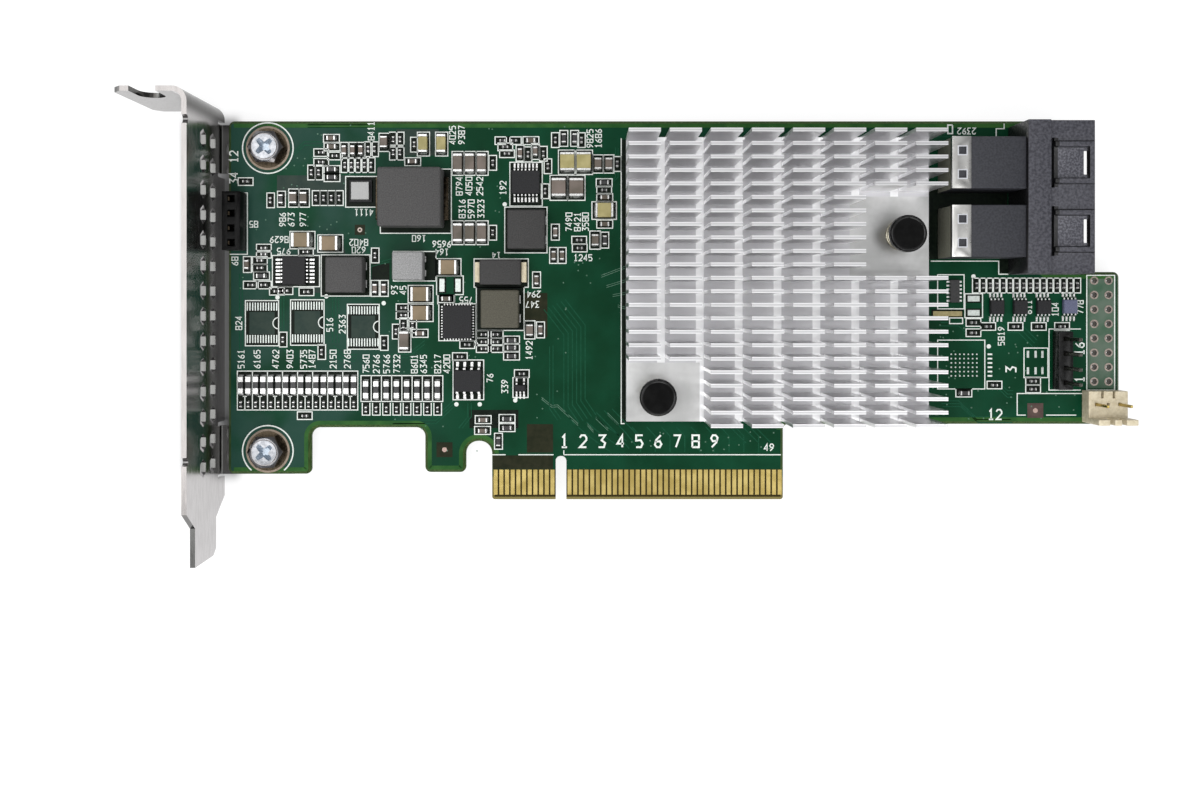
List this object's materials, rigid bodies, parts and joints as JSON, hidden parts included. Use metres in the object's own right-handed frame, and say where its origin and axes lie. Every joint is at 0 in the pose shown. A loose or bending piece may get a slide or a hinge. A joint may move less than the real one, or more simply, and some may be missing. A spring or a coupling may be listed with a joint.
{
  "type": "host bus adapter",
  "caption": "Low-profile plug-in host bus adapter card with a pin-fin heatsink, cable ports at one end and a vented mounting bracket at the other.",
  "frame": {"origin": "middle of the key notch at the tip of the contact tongue, in the middle of the board's thickness", "axes": "+X along the card away from the bracket, +Y up from the contact edge, +Z out of the component side"},
  "size_m": [0.1712, 0.0792, 0.0184],
  "materials": {
    "solder_mask": "gloss green solder mask on glass-epoxy board",
    "gold_plating": "hard gold plating",
    "plated_steel": "nickel-plated sheet steel",
    "screw_steel": "bright plated steel",
    "spring_steel": "bright spring wire",
    "aluminium": "etched aluminium",
    "substrate": "package substrate",
    "silicon": "polished silicon",
    "thermal_pad": "soft grey pad",
    "black_plastic": "black moulding",
    "slate_plastic": "slate black moulding",
    "cream_plastic": "cream nylon",
    "ferrite": "moulded ferrite",
    "grey_ferrite": "pale moulded ferrite",
    "brown_ferrite": "brown moulded ferrite",
    "tin_plating": "tin plating",
    "package_black": "moulded epoxy",
    "package_blue": "blue-grey moulded epoxy",
    "beige_ceramic": "beige capacitor ceramic",
    "brown_ceramic": "brown capacitor ceramic",
    "resistor_black": "coated resistor"
  },
  "bodies": {
    "root": {"circuit_board": "solder_mask", "front_contacts": "gold_plating", "back_contacts": "gold_plating", "mounting_bracket": "plated_steel", "bracket_screws": "screw_steel", "controller_substrate": "substrate", "controller_die": "silicon", "thermal_pad": "thermal_pad", "heatsink": "aluminium", "push_pins": "black_plastic", "push_pin_springs": "spring_steel", "port_housing": "slate_plastic", "upper_receptacle": "slate_plastic", "lower_receptacle": "slate_plastic", "receptacle_clips": "plated_steel", "port_contacts": "gold_plating", "bus_header": "black_plastic", "bus_header_contacts": "gold_plating", "pin_header": "black_plastic", "pin_header_pins": "gold_plating", "lock_header": "cream_plastic", "lock_header_pins": "gold_plating", "main_inductor": "ferrite", "main_inductor_terminals": "tin_plating", "input_inductor": "ferrite", "grey_inductor": "grey_ferrite", "core_inductor": "ferrite", "memory_inductor": "brown_ferrite", "end_inductor": "ferrite", "end_inductor_terminals": "tin_plating", "oscillator": "tin_plating", "power_stage": "package_black", "left_regulator": "package_black", "right_regulator": "package_black", "flash_memory": "package_black", "supervisor": "package_black", "sensor_chip": "package_blue", "buffer_chips": "package_black", "package_leads": "tin_plating", "film_capacitors": "beige_ceramic", "bulk_capacitors": "brown_ceramic", "long_capacitors": "brown_ceramic", "medium_capacitors": "brown_ceramic", "small_capacitors": "brown_ceramic", "tiny_capacitors": "brown_ceramic", "small_resistors": "resistor_black", "slim_resistors": "resistor_black", "tiny_resistors": "resistor_black", "resistor_network": "resistor_black"}
  },
  "joints": []
}
